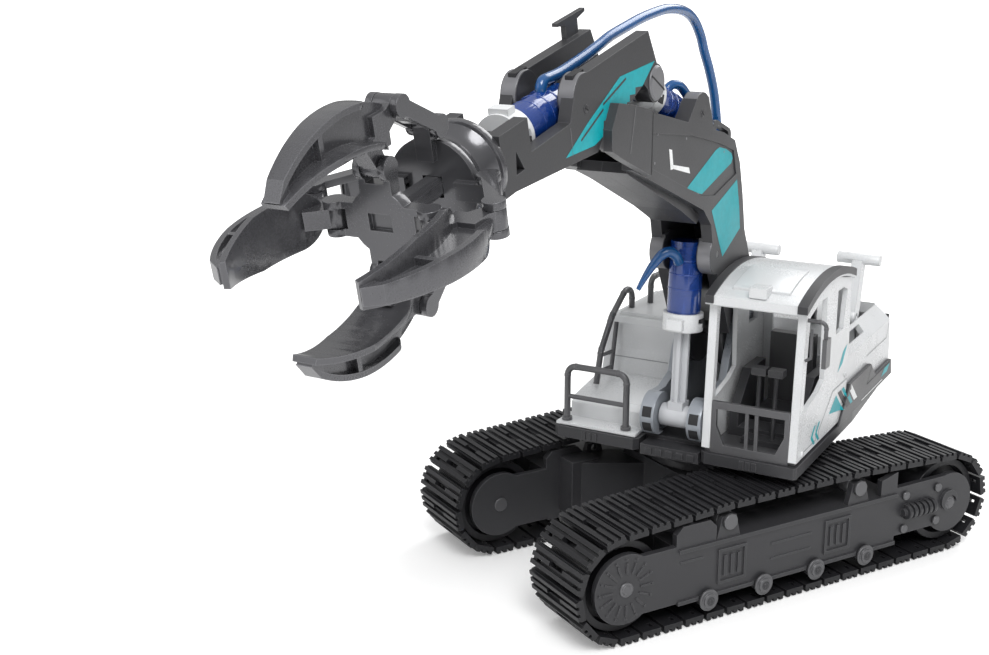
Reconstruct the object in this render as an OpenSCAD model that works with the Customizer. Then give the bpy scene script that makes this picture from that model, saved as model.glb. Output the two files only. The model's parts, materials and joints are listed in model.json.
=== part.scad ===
// Hydraulic excavator arm kit: a tracked undercarriage, a turning upper body with cab,
// a two-piece boom and arm moved by water-filled cylinders, and a four-claw grapple.
// X points along the tracks, Y to the left, Z up; the origin is on the ground under the slew axis.

/* [Undercarriage] */
// Distance between front and rear wheel centres
wheelbase = 170; // [150:1:190]
// Distance between the centre lines of the two tracks
track_gauge = 93.5; // [90:0.5:100]
// Width of one track shoe
shoe_w = 32.9; // [30:0.1:33.5]
// Outer radius of the track around a wheel
track_r = 22.5; // [21:0.1:24]
// Number of shoes in one track
shoe_count = 46; // [44:1:47]

/* [Upper body] */
// Angle of the upper body over the tracks
slew_rest = 30.4; // [-90:0.1:90]
// Width of the deck
deck_w = 107.2; // [106:0.2:110]
// Front edge of the deck ahead of the slew axis
deck_front = 41; // [40:0.5:44]
// Rear edge of the deck behind the slew axis
deck_rear = -108; // [-112:0.5:-106]

/* [Boom and arm] */
// Height of the boom pivot
boom_pivot_z = 95; // [94:0.5:96]
// Height of the arm pivot
arm_pivot_z = 196.5; // [196:0.5:197]
// Downward slope of the arm
arm_slope = 13; // [12:0.5:14]
// Half width of the boom and the arm
arm_half_w = 13; // [12.8:0.1:13.1]

/* [Hydraulic cylinders] */
// Outer radius of a cylinder barrel
barrel_r = 6.8; // [6.4:0.1:6.9]
// Bore radius of a cylinder barrel
barrel_bore_r = 5.6; // [5.2:0.1:5.8]
// Barrel length past its pivot
barrel_len = 30; // [28:0.5:31]
// Outside radius of a hose
hose_r = 1.9; // [1.5:0.1:2.1]

/* [Grapple] */
// Distance from the arm pivot to the spider pivots
spider_s = 117; // [116.5:0.25:117.5]
// Radius of the spider pivots
spider_r = 14.9; // [14.5:0.1:15.1]
// Width of a claw
claw_w = 16; // [12:0.5:17]

/* [Hidden] */
$fn = 48;
eps = 0.05;
collar_gap = 0.06;
collar_lift = 0.12;

// Colours
dark = "#454546";
black = "#26272a";
white = "#ececec";
grey = "#77787b";
pale = "#b4b6ba";
blue = "#1d4f8f";

// Undercarriage places
half_base = wheelbase / 2;
track_y = track_gauge / 2;
wheel_z = track_r;
wheel_r = track_r - 4.3;
wheel_w = 24;
axle_r = 3;
shoe_t = 1.9;
grouser_h = 1.2;
belt_r = track_r - grouser_h - shoe_t / 2;
carrier_x = [37, -31];
carrier_lift = 2.6;
carrier_z = 39.8;
roller_x = [46.7, 19.2, -8.3, -35.5];
roller_z = 9.5;
stub_r = 2.3;
bolt_x = [-58, -77];
bolt_z = [16, 31];
frame_half = 16;
end_plate_t = 2.6;
ring_z = 51.6;

// Upper body places
deck_z = 56.8;
deck_t = 4.8;
deck_half = deck_w / 2;
cab_y0 = 13.6;
slew_pin_r = 9;
roof_big = 95;
roof_top = 129;
roof_t = 3.6;

// Boom and arm places, seen from the side as [forward, up]
boom_pivot = [-10, boom_pivot_z];
boom_cyl_low = [32, 67];
boom_cyl_top = [28, 136];
arm_cyl_rear = [50, 194];
arm_pivot = [125, arm_pivot_z];
arm_lobe = [-32, 5.2];
plate_in = 8.5;
lobe_in = 7.2;
lobe_r = 8;
tip_in = arm_half_w + 0.3;
tip_out = tip_in + 3;
pin_r = 1.5;
pin_gap = 0.05;
boom_pin_r = 3;
arm_pin_r = 4;
bracket_in = 9.9;
bracket_out = 13.2;
open_gap = 1.2;
claw_gap = 0.8;

// Grapple places, along and away from the grapple axis
axis_t = 13.5;
drum_s = 76;
drum_len = 16;
drum_r = 14;
link_s = 91;
link_r = 17.6;
claw_s = 107.6;
claw_r = 28.5;
claw_arc_r = 41;
claw_band_r = 46.9;
claw_wall = 1.7;
peg_r = 1.2;
lug_half = 2.7;
fork_in = 2.85;
fork_out = 5;
grapple_cyl_s = 22;

// Control places
lever_y = [42.5, -5, -36];
lever_pivot = [-70, 92];
lever_drop = 24;
shaft_r = 1.6;
shaft_end = 44.3;
master_len = 27;

// ---------- shared shapes ----------

// Turns a part of the upper body to its place over the tracks
module upper() {
    rotate([0, 0, slew_rest]) children();
}

// Draws a side outline of [forward, up] and gives it a thickness from y0 to y1
module side(y0, y1) {
    translate([0, y1, 0]) rotate([90, 0, 0]) linear_extrude(y1 - y0) children();
}

// A cylinder along Y from y0 to y1 through the side point p
module across(p, r, y0, y1) {
    translate([p[0], y1, p[1]]) rotate([90, 0, 0]) cylinder(r = r, h = y1 - y0);
}

// A round bar between two points
module bar(a, b, r) {
    d = b - a;
    translate(a) rotate([0, acos(d[2] / norm(d)), atan2(d[1], d[0])]) cylinder(r = r, h = norm(d));
}

// A round tube through flat points, with a bend of a given radius and two thin collars at each corner
function leg(p, i) = (p[i + 1] - p[i]) / norm(p[i + 1] - p[i]);
function heading(p, i) = atan2(leg(p, i)[1], leg(p, i)[0]);
function turn(p, i) = let (t = heading(p, i) - heading(p, i - 1)) t > 180 ? t - 360 : t < -180 ? t + 360 : t;
function trim(p, i, bend) = i == 0 || i == len(p) - 1 ? 0 : bend * tan(abs(turn(p, i)) / 2);
module tube(p, bend, r) {
    last = len(p) - 1;
    for (i = [0 : last - 1]) {
        t0 = trim(p, i, bend) + (i > 0 ? collar_gap : 0);
        t1 = trim(p, i + 1, bend) + (i + 1 < last ? collar_gap : 0);
        span = norm(p[i + 1] - p[i]) - t0 - t1;
        translate(p[i]) rotate([0, 0, heading(p, i)]) translate([t0, 0, 0]) rotate([0, 90, 0]) {
            cylinder(r = r, h = span);
            if (i > 0) cylinder(r = r + collar_lift, h = 1, center = true);
            if (i + 1 < last) translate([0, 0, span]) cylinder(r = r + collar_lift, h = 1, center = true);
        }
    }
    for (i = [1 : last - 1]) {
        s = turn(p, i) > 0 ? 1 : -1;
        d = leg(p, i - 1);
        centre = p[i] - d * trim(p, i, bend) + [-d[1], d[0]] * s * bend;
        from = heading(p, i - 1) - 90 * s + (s > 0 ? 0 : turn(p, i));
        translate(centre) rotate([0, 0, from]) rotate_extrude(angle = abs(turn(p, i)))
            translate([bend, 0]) circle(r);
    }
}

// A soft hose: a flat-sided strip with smooth turns through [forward, up] points
function square_off(p, i) = let (a = leg(p, max(i - 1, 0)), b = leg(p, min(i, len(p) - 2)),
    d = (a + b) / norm(a + b)) [-d[1], d[0]];
module hose(y, p, r) {
    last = len(p) - 1;
    side(y - r, y + r) polygon(concat([for (i = [0 : last]) p[i] + square_off(p, i) * r],
        [for (i = [last : -1 : 0]) p[i] - square_off(p, i) * r]));
}

// A bent tube lying in a side plane at y, through [forward, up] points
module side_tube(y, p, bend, r) {
    translate([0, y, 0]) rotate([90, 0, 0]) tube(p, bend, r);
}

// A bent tube lying in a front plane at x, through [left, up] points
module front_tube(x, p, bend, r) {
    translate([x, 0, 0]) rotate([90, 0, 90]) tube(p, bend, r);
}

// A flat bar with round ends, drawn in the plane
module stadium(a, b, r) {
    d = b - a;
    translate(a) circle(r);
    translate(b) circle(r);
    translate(a) rotate(atan2(d[1], d[0])) translate([0, -r]) square([norm(d), 2 * r]);
}

// Places a shape in the frame of the arm: X along the arm, Z up, origin at the arm pivot
module on_arm() {
    upper() translate([arm_pivot[0], 0, arm_pivot[1]]) rotate([0, arm_slope, 0]) children();
}

// Places a shape on one of the four sides of the grapple: Z away from the grapple axis
module around_axis(k) {
    on_arm() translate([0, 0, axis_t]) rotate([k * 90, 0, 0]) children();
}

// Places a shape on a cylinder whose pivot is a and which points at b
module along(a, b) {
    d = b - a;
    translate([a[0], 0, a[1]]) rotate([0, -atan2(d[1], d[0]), 0]) children();
}

// ---------- undercarriage ----------

// H-shaped chassis with boxy arms and the round turntable
module chassis() {
    arm_z0 = 15;
    arm_h = 23;
    reach = track_y - frame_half - eps;
    color(dark) difference() {
        union() {
            translate([-26, -24, 14]) cube([52, 48, 27]);
            for (sx = [-1, 1], sy = [-1, 1]) {
                translate([0, 0, arm_z0]) linear_extrude(arm_h)
                    polygon([[sx * 8, sy * 14], [sx * 26, sy * 8], [sx * 54, sy * (reach - 8)],
                        [sx * 54, sy * reach], [sx * 30, sy * reach]]);
                translate([sx * 48 - 7, sy * (reach - 5) - 5, arm_z0 - 1]) cube([14, 10, arm_h + 2]);
            }
            translate([0, 0, 40]) cylinder(r = 25, h = 6);
            translate([0, 0, 45]) cylinder(r = 28, h = ring_z - 45);
            translate([0, 0, 45]) cylinder(r = slew_pin_r, h = deck_z + 1 - 45);
        }
        for (sx = [-1, 1]) translate([sx * 17, 0, 0]) cylinder(r = 4, h = 36);
    }
}

// Outline of the box and the two end arms of a track frame
module frame_outline() {
    square_z = 10;
    translate([-53, square_z]) square([114, 23]);
    polygon([[43, 30], [62, 30], [62, 39], [59, 42], [46, 42], [43, 39]]);
    polygon([[-53, 30], [-44, 30], [-44, 40], [-53, 42.4]]);
    translate([55, 10.8]) square([half_base - 55, 23.4]);
    translate([half_base, wheel_z]) circle(14);
    translate([-half_base, 13.6]) square([half_base - 50, 21.6]);
    translate([-half_base, wheel_z]) circle(13.2);
    for (x = roller_x) translate([x, roller_z + 0.6]) circle(4);
    for (x = carrier_x) polygon([[x - 6, 32], [x + 6, 32], [x + 3.4, 42], [x - 3.4, 42]]);
}

// One half of a track frame: an end-to-end plate and half of the box between the wheels
module frame_half_shape(outer) {
    y_out = frame_half;
    difference() {
        union() {
            side(y_out - end_plate_t, y_out) frame_outline();
            side(eps, y_out - 0.2) difference() {
                translate([-53, 10]) square([114, 23]);
                translate([-49, 14]) square([106, 15]);
            }
            if (outer) outer_details(y_out);
        }
        for (sx = [-1, 1]) across([sx * half_base, wheel_z], axle_r + pin_gap, 0, y_out + 4);
        for (x = roller_x) across([x, roller_z], stub_r, y_out - 2.2, y_out + 4);
        for (x = roller_x) across([x, roller_z], 4.8, y_out + 0.05, y_out + 4);
        for (x = carrier_x) across([x, carrier_z], 1.5, 0, y_out + 4);
        if (outer) for (x = bolt_x, z = bolt_z) across([x, z], 1.3, y_out - 2.2, y_out + 4);
    }
}

// Raised details on the outside of a track frame
module outer_details(y) {
    side(y - 0.2, y + 0.8) translate([-53, 31.4]) square([114, 1.6]);
    side(y - 0.2, y + 0.8) translate([-53, 10]) square([114, 1.6]);
    for (x = [35, -20]) {
        side(y - 0.2, y + 0.7) difference() {
            translate([x - 7, 14.5]) square([14, 14.5]);
            translate([x - 5.8, 15.7]) square([11.6, 12.1]);
        }
        for (k = [-1, 0, 1]) side(y - 0.2, y + 0.7) translate([x + k * 3.4 - 0.8, 17.5]) square([1.6, 8.5]);
    }
    for (z = [18.5, 25]) side(y - 0.2, y + 0.35) translate([-6, z]) square([21, 0.9]);
    side(y - 0.2, y + 0.35) translate([49, 27]) square([11, 0.9]);
    for (a = [0 : 22.5 : 359]) {
        side(y - 0.2, y + 0.5) translate([half_base, wheel_z]) rotate(a)
            translate([6.4, -0.4]) square([4.4, 0.8]);
        across([half_base + 12 * cos(a), wheel_z + 12 * sin(a)], 0.55, y - 0.2, y + 0.5);
    }
    difference() {
        across([-half_base + 1, wheel_z + 1.5], 4.6, y - 0.2, y + 1.4);
        across([-half_base, wheel_z], 3.4, y - 1, y + 2);
    }
    tensioner(y + 1.2);
}

// Moulded tensioner spring beside the idler
module tensioner(y) {
    coil_n = 6;
    pitch = 2.9;
    translate([-56, y, 24]) rotate([0, -90, 0]) cylinder(r = 1.6, h = coil_n * pitch + 2);
    for (i = [0 : coil_n - 1]) translate([-57.5 - i * pitch, y, 24]) rotate([0, -90, 0])
        cylinder(r = 3.2, h = 1.6);
}

module frame(sy, outer) {
    color(dark) translate([0, sy * track_y, 0]) mirror([0, (sy > 0) == outer ? 0 : 1, 0])
        frame_half_shape(outer);
}

// Wheel with a hollowed face, turning on its axle
module wheel(sx, sy) {
    web = 7;
    color(black) translate([sx * half_base, sy * track_y, wheel_z]) rotate([90, 0, 0]) difference() {
        cylinder(r = wheel_r, h = wheel_w, center = true);
        cylinder(r = axle_r + pin_gap, h = wheel_w + 1, center = true);
        for (s = [-1, 1]) translate([0, 0, s * (wheel_w / 2)]) difference() {
            cylinder(r = wheel_r - 3, h = wheel_w - 2 * web, center = true);
            cylinder(r = axle_r + 2.4, h = wheel_w, center = true);
        }
    }
}

// The run of the belt: lower straight, front arc, raised top, rear arc
top_len = norm([half_base - carrier_x[0], carrier_lift]);
mid_len = carrier_x[0] - carrier_x[1];
back_len = norm([half_base + carrier_x[1], carrier_lift]);
arc_len = PI * belt_r;
belt_len = wheelbase + 2 * arc_len + top_len + mid_len + back_len;
shoe_pitch = belt_len / shoe_count;

// Place and direction of the belt at a distance along it: [forward, up, angle]
function belt_at(d) =
    d < wheelbase ? [-half_base + d, wheel_z - belt_r, 0] :
    d < wheelbase + arc_len ? arc_at(d - wheelbase, half_base, -90) :
    d < wheelbase + arc_len + top_len ? line_at(d - wheelbase - arc_len, [half_base, wheel_z + belt_r],
        [carrier_x[0], wheel_z + belt_r + carrier_lift]) :
    d < wheelbase + arc_len + top_len + mid_len ? [carrier_x[0] - (d - wheelbase - arc_len - top_len),
        wheel_z + belt_r + carrier_lift, 180] :
    d < belt_len - arc_len ? line_at(d - wheelbase - arc_len - top_len - mid_len,
        [carrier_x[1], wheel_z + belt_r + carrier_lift], [-half_base, wheel_z + belt_r]) :
    arc_at(d - belt_len + arc_len, -half_base, 90);
function arc_at(s, x, start) = let (a = start + s / belt_r * 180 / PI, r = belt_r - 0.3)
    [x + r * cos(a), wheel_z + r * sin(a), a + 90];
function line_at(s, a, b) = let (d = b - a, n = norm(d))
    [a[0] + d[0] * s / n, a[1] + d[1] * s / n, atan2(d[1], d[0])];

// One track shoe with its three grousers, a centre slot and two pairs of windows
module shoe() {
    base_l = shoe_pitch - 1.5;
    bar_l = 1.7;
    difference() {
        union() {
            translate([-base_l / 2, -shoe_w / 2, -shoe_t / 2]) cube([base_l, shoe_w, shoe_t]);
            for (k = [-1, 0, 1]) translate([k * 3.1 - bar_l / 2, -shoe_w / 2, -shoe_t / 2 - grouser_h])
                cube([bar_l, shoe_w, grouser_h + 0.2]);
        }
        translate([-0.9, -4.5, -5]) cube([1.8, 9, 10]);
        for (sy = [-1, 1]) translate([-2.3, sy * 12.6 - 1.3, -5]) cube([1.4, 2.6, 10]);
    }
}

// A whole track, laid around its two wheels
module track(sy) {
    color(black) for (i = [0 : shoe_count - 1]) let (p = belt_at((i + 0.5) * shoe_pitch))
        translate([p[0], sy * track_y, p[1]]) rotate([0, -p[2], 0]) shoe();
}

// Lower track rollers and the top carrier rollers, pressed in the frames
module track_rollers() {
    color(grey) for (sy = [-1, 1]) translate([0, sy * track_y, 0]) mirror([0, sy > 0 ? 0 : 1, 0]) {
        for (x = roller_x) {
            across([x, roller_z], stub_r - 0.1, frame_half - 2.1, frame_half + 1);
            across([x, roller_z], 4.4, frame_half + 0.9, frame_half + 1.9);
            across([x, roller_z], 2.9, frame_half + 0.4, frame_half + 2.8);
        }
        for (x = carrier_x) {
            across([x, carrier_z], 1.4, frame_half - 8, frame_half + 1);
            across([x, carrier_z], 3.2, frame_half + 0.1, frame_half + 1.4);
            across([x, carrier_z], 4, frame_half - 8.6, frame_half - 2.8);
        }
    }
}

// Four fixed wheel axles
module wheel_axles() {
    color(grey) for (sx = [-1, 1], sy = [-1, 1]) {
        across([sx * half_base, wheel_z], axle_r, sy * track_y - frame_half - 0.6,
            sy * track_y + frame_half + 0.6);
    }
}

// Screws with round heads that join the track frame halves at the rear
module frame_bolts() {
    color(grey) for (sy = [-1, 1], x = bolt_x, z = bolt_z)
        translate([0, sy * track_y, 0]) mirror([0, sy > 0 ? 0 : 1, 0]) {
            across([x, z], 1.2, frame_half - 2.1, frame_half + 0.4);
            across([x, z], 1.9, frame_half + 0.05, frame_half + 1.2);
        }
}

// ---------- upper body ----------

module deck_outline() {
    notch = 10;
    polygon([[deck_front, -deck_half + 3], [deck_front - 3, -deck_half], [-40, -deck_half],
        [deck_rear + 14, -deck_half + 3], [deck_rear, -deck_half + 16], [deck_rear, deck_half - 16],
        [deck_rear + 14, deck_half - 3], [-40, deck_half], [deck_front - 1, deck_half],
        [deck_front, deck_half - 1],
        [deck_front, cab_y0 + 2], [deck_front - 2, cab_y0], [deck_front - notch, cab_y0],
        [deck_front - notch, -14], [deck_front - 2, -14], [deck_front, -16]]);
}

// Base plate of the upper body with the ribbed step under the boom
module deck() {
    color(dark) upper() difference() {
        union() {
            translate([0, 0, deck_z - deck_t]) linear_extrude(deck_t) deck_outline();
            translate([deck_front - 12, -13, deck_z - 6.2]) cube([11, 25.6, 4.6]);
            for (k = [-2 : 2]) translate([deck_front - 1.2, k * 4.6 - 1.4, deck_z - 5.4]) cube([0.8, 2.8, 2.6]);
            for (k = [-1, 0, 1], y = [-36, 34]) translate([deck_front - 0.2, y + k * 2.6 - 0.9, deck_z - 4.2])
                cube([0.7, 1.8, 3.4]);
        }
        translate([0, 0, 40]) cylinder(r = slew_pin_r + pin_gap, h = 30);
    }
}

// White moulding on the right: front floor, step box and tall tank
module tank_box() {
    z0 = deck_z + eps;
    y0 = -deck_half + 1;
    color(white) upper() difference() {
        union() {
            translate([-2, y0, z0]) cube([deck_front + 0.5, 37, 1.4]);
            side(-50, -17) polygon([[30, z0], [30, 64.5], [27, 67], [2, 71], [-4, 71], [-4, z0]]);
            side(-50, -17) polygon([[0, z0], [0, 70], [-3, 82], [-4, 93], [-7, 95], [-59.8, 95], [-59.8, z0]]);
            side(-46, -21) polygon([[-9, 94], [-10, 96.6], [-56, 96.6], [-56, 94]]);
        }
        translate([-61, -46, z0 - 1]) cube([45, 25, 31]);
    }
}

// Outline of the engine hood from the side
module hood_outline(grow) {
    polygon([[-60 - grow, deck_z + eps], [-60 - grow, 98 - grow], [-84, 96 - grow], [-97 + grow, 95 - grow],
        [-103.5 + grow, 86 - grow], [-106 + grow, 72], [-107.5 + grow, deck_z + eps]]);
}

// Outline of the engine hood from behind
module hood_section(grow) {
    w = deck_half - 1.4 - grow;
    polygon([[-w, deck_z - 1], [-w, 84 - grow / 2], [-40 + grow, 99 - grow], [40 - grow, 99 - grow],
        [w, 84 - grow / 2], [w, deck_z - 1]]);
}

// Rear hood shell over the master cylinders, with a slot for each lever
module engine_hood() {
    wall = 2.2;
    color(white) upper() difference() {
        union() {
            intersection() {
                side(-deck_half, deck_half) hood_outline(0);
                translate([-120, 0, 0]) rotate([90, 0, 90]) linear_extrude(70) hood_section(0);
            }
            intersection() {
                side(-16, deck_half) polygon([[-60.5, deck_z + eps], [-60.5, 98],
                    [-33, 97], [-28.5, 92], [-28.5, deck_z + eps]]);
                translate([-61, 0, 0]) rotate([90, 0, 90]) linear_extrude(40) hood_section(0);
            }
        }
        intersection() {
            side(-deck_half, deck_half) hood_outline(wall);
            translate([-120, 0, 0]) rotate([90, 0, 90]) linear_extrude(70) hood_section(wall);
        }
        side(-14, deck_half - 3.8) polygon([[-65, deck_z - 1], [-65, 90], [-29.7, 90], [-29.7, deck_z - 1]]);
        for (y = lever_y) translate([-99, y - 3.4, 80]) cube([43, 6.8, 30]);
        for (y = lever_y) translate([-66, y - 7.4, deck_z - 1]) cube([10, 14.8, 26]);
        across(lever_pivot, shaft_r + pin_gap, -shaft_end - 0.1, shaft_end + 0.1);
    }
}

// Dark lower side panels with a slanted front end
module side_panels() {
    panel = [[-16, deck_z + eps], [-31, 72], [-66, 72], [-75, 64.6], [-104, 64.6], [-106, deck_z + eps]];
    color(dark) upper() {
        difference() {
            side(deck_half - 1.3, deck_half + 0.6) polygon(panel);
            translate([-29, 0, deck_z]) cube([20, deck_half - 0.35, 20]);
        }
        side(-deck_half - 0.6, -deck_half + 0.95) polygon([for (p = panel) [min(p[0], -60), p[1]]]);
    }
}

// Curved rear weight behind the hood
module counterweight() {
    color(dark) upper() intersection() {
        side(-deck_half + 2, deck_half - 2) polygon([[-104, 86.6], [-109, 84], [-115, 74], [-118, deck_z + eps],
            [-108 - eps, deck_z + eps], [-106.4, 72]]);
        translate([-20, 0, 0]) cylinder(r = 99, h = 100);
    }
}

// Grey cab floor with the front guard
module cab_base() {
    y0 = cab_y0 + 0.2;
    y1 = deck_half - 0.4;
    guard_x = deck_front - 3.6;
    color(grey) upper() {
        translate([-26, y0 + 1, deck_z + eps]) cube([guard_x + 27, y1 - y0 - 2, 1.6]);
        translate([guard_x, 0, 0]) rotate([90, 0, 90]) linear_extrude(1.8) difference() {
            translate([y0 + 3.6, deck_z + eps]) square([y1 - y0 - 7.2, 21.6]);
            polygon([[y0 + 5.6, 75.4], [y0 + 5.6, 68], [y0 + 9, 60.4], [y1 - 9, 60.4], [y1 - 5.6, 68],
                [y1 - 5.6, 75.4]]);
        }
        for (y = [32, 36]) translate([guard_x + 0.2, y - 0.7, 60]) cube([1.2, 1.4, 16]);
    }
}

// Outline of a cab side wall with its two windows
module cab_side_wall() {
    difference() {
        polygon([[deck_front - 1.2, deck_z + 1.7], [deck_front - 5, 120.4], [18, 124.4], [-5, 124.6],
            [-25, 120.8],
            [-28, 90], [-28, deck_z + 1.7]]);
        polygon([[34.5, 77], [31.4, 116], [19, 119.4], [9.5, 119.4], [7.5, 84.5], [15, 81]]);
        polygon([[-6, 100], [-6, 118.6], [-14, 118.6], [-20, 116.5], [-17, 100]]);
    }
}

// White cab frame: two side walls, front posts, rear wall and top rail
module cab_frame() {
    y0 = cab_y0 + 0.2;
    y1 = deck_half - 0.4;
    post = 3.4;
    color(white) upper() difference() {
        union() {
            side(y1 - 2, y1) cab_side_wall();
            side(y0, y0 + 2) cab_side_wall();
            for (y = [y0, y1 - post]) side(y, y + post) polygon([[deck_front - 1.2, deck_z + 1.7],
                [deck_front - 5, 120.4], [deck_front - 8, 121], [deck_front - 4.8, deck_z + 1.7]]);
            side(y0, y1) polygon([[36.5, 112], [36, 120.4], [18, 124.3], [18, 122.3], [32, 119], [33.5, 112]]);
            side(y0, y1) polygon([[-25, 120.7], [-28, 90], [-28, deck_z + 1.7], [-26.2, deck_z + 1.7],
                [-26.2, 90],
                [-23.2, 118.9], [-5, 122.4], [-5, 124.5]]);
        }
        translate([30, y0 + post, 60]) cube([20, y1 - y0 - 2 * post, 57]);
        translate([-40, y0 + 6, 84]) cube([30, y1 - y0 - 12, 30]);
        side(0, deck_half) difference() {
            translate([-40, 110]) square([90, 30]);
            translate([4, roof_top - roof_big - roof_t]) circle(roof_big - 0.25, $fn = 200);
        }
    }
}

// Arched roof with its trim, hatch and latch
module cab_roof() {
    y0 = cab_y0 - 0.6;
    y1 = deck_half + 0.8;
    color(white) upper() {
        intersection() {
            side(y0, y1) difference() {
                translate([4, roof_top - roof_big]) circle(roof_big, $fn = 200);
                translate([4, roof_top - roof_big - roof_t]) circle(roof_big - 0.2, $fn = 200);
            }
            translate([-27, y0, 115]) cube([67, y1 - y0, 20]);
        }
        side(y0 + 9, y1 - 9) difference() {
            intersection() {
                translate([4, roof_top - roof_big + 0.9]) circle(roof_big, $fn = 200);
                translate([10, 115]) square([24, 20]);
            }
            translate([4, roof_top - roof_big - 1]) circle(roof_big, $fn = 200);
        }
        translate([32, y0 + 17.5, 123.4]) cube([3.2, 7, 3.2]);
    }
}

// Seat, consoles and the two control sticks
module cab_interior() {
    z0 = deck_z + 1.7;
    color(grey) upper() {
        translate([-14, 24, z0]) cube([20, 19, 8]);
        translate([-16, 24, z0 + 4]) cube([5, 19, 34]);
        translate([8, 20, z0]) cube([12, 26, 4]);
        side(18, 22) polygon([[-12, z0], [20, z0], [20, 70], [6, 84], [-12, 84]]);
        side(45, 49) polygon([[-12, z0], [20, z0], [20, 70], [6, 84], [-12, 84]]);
        for (y = [31, 38]) {
            bar([24, y, z0], [22, y, 88], 0.9);
            translate([19, y - 3, 87]) cube([5, 6, 3]);
        }
        translate([20, 26, z0]) cube([8, 17, 2.4]);
    }
}

// Mirror on a bent rod at the front left post
module mirror_part() {
    color(grey) upper() {
        front_tube(36.4, [[deck_half + 0.1, 116], [deck_half + 7.4, 116], [deck_half + 7.4, 107]], 2.4, 0.8);
        translate([32.5, deck_half + 6.6, 98]) cube([5.5, 1.8, 11.5]);
        bar([37.2, deck_half + 0.1, 100], [37.2, deck_half + 2.4, 101.5], 0.6);
        bar([37.2, deck_half + 2.2, 101.5], [37.6, deck_half + 2.2, 113], 0.6);
    }
}

// Tubular handrails: front hoop, ladder arch and two hood rails
module handrails() {
    r = 1.35;
    foot = deck_z + 1.5 + eps;
    color(grey) upper() {
        front_tube(36, [[-49, foot], [-49, 82.4], [-21.5, 82.4], [-21.5, foot]], 4, r);
        bar([36, -48, 69], [36, -22.5, 69], 1);
        for (y = [-49, -21.5]) translate([36, y, foot]) cylinder(r = 2.2, h = 1.4);
        side_tube(-44, [[18.1, 70], [14, 84], [3, 97.6], [-10, 106], [-18, 106], [-18, 96.8]], 5, r);
        bar([2.9, -44, 72.4], [-1.9, -44, 93.6], 1);
        bar([16.4, -44, 75.2], [2.2, -44, 74], 0.85);
        bar([14.2, -44, 82], [0.4, -44, 80.8], 0.85);
        side_tube(-40, [[-30, 96.8], [-30, 108.4], [-55, 108.4], [-55, 96.8]], 4, r);
        side_tube(36, [[-32, 97.2], [-32, 106], [-57, 106], [-57, 98.1]], 4, r);
    }
}

// Two upright brackets that carry the boom pivot and the lower cylinder pivot
module boom_brackets() {
    color(pale) upper() for (sy = [0, 1]) mirror([0, sy, 0]) difference() {
        union() {
            side(bracket_in, bracket_out) {
                polygon([[-27.5, deck_z + eps], [-27.5, 92], [-25, 99], [2, 101], [9, 88], [12, 79], [22, 75.4],
                    [30, 75.6],
                    [34, 58.6], [30, deck_z + eps]]);
                translate([-12, 93]) circle(15);
            }
            across(boom_cyl_low, 9, lobe_in, bracket_out);
        }
        across(boom_pivot, boom_pin_r + pin_gap, 0, 20);
        across(boom_cyl_low, pin_r + pin_gap, 0, 20);
        translate([24, lobe_in - 1, 58.6]) cube([10, 4.5, 4.6]);
    }
}

// Boom pivot pin, lower cylinder pin and the lever shaft
module upper_pins() {
    color(grey) upper() {
        across(boom_pivot, boom_pin_r, -bracket_out, bracket_out);
        across(boom_cyl_low, pin_r, -bracket_out, bracket_out);
        across(lever_pivot, shaft_r, -shaft_end, shaft_end);
    }
}

// Three fixed master cylinders in the hood
module master_barrels() {
    z = lever_pivot[1] - lever_drop;
    color(blue) upper() for (y = lever_y) translate([-57, y, z]) rotate([0, 90, 0]) difference() {
        cylinder(r = barrel_r, h = master_len);
        translate([0, 0, -1]) cylinder(r = barrel_bore_r, h = master_len - 0.6);
    }
}

// T-handle lever on its shaft
module lever(i) {
    px = lever_pivot[0];
    pz = lever_pivot[1];
    color(white) upper() difference() {
        union() {
            side(lever_y[i] - 2.4, lever_y[i] + 2.4) {
                stadium([px, pz], [px, pz - lever_drop], 1.5);
                translate([px, pz - lever_drop]) circle(2.5);
                polygon([[px - 4, pz], [px + 4, pz], [px - 3.5, 117], [px - 11, 117]]);
                translate([px, pz]) circle(4.2);
            }
            across([px - 7.4, 117.5], 2.6, lever_y[i] - 9.8, lever_y[i] + 9.8);
        }
        across(lever_pivot, shaft_r + pin_gap, -60, 60);
    }
}

// Master plunger with the two flanges that the lever foot works between
module plunger(i) {
    z = lever_pivot[1] - lever_drop;
    flange_gap = 7.4;
    color(white) upper() translate([lever_pivot[0], lever_y[i], z]) {
        for (s = [-1, 1]) translate([s * (flange_gap / 2 + 0.8), 0, 0]) rotate([0, 90, 0])
            cylinder(r = 5, h = 1.6, center = true);
        for (s = [-1, 1]) translate([-flange_gap / 2 - 1.5, s * 3.6 - 0.6, -3]) cube([flange_gap + 3, 1.2, 3]);
        translate([flange_gap / 2 + 1, 0, 0]) rotate([0, 90, 0]) cylinder(r = 2, h = 23.4);
        translate([flange_gap / 2 + 23.2, 0, 0]) rotate([0, 90, 0])
            cylinder(r = barrel_bore_r - pin_gap, h = 2.4);
    }
}

// ---------- boom ----------

// Side outline of a boom cheek above its base
module boom_cheek() {
    polygon([[-22, 110], [-12, 126], [-3, 141], [1, 156], [6, 170], [13, 180], [26, 184.5], [112, 202],
        [112, 180.5], [63, 163], [45, 156.5], [36, 149], [34, 142], [26, 126], [10, 98], [4, 106]]);
}

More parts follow.
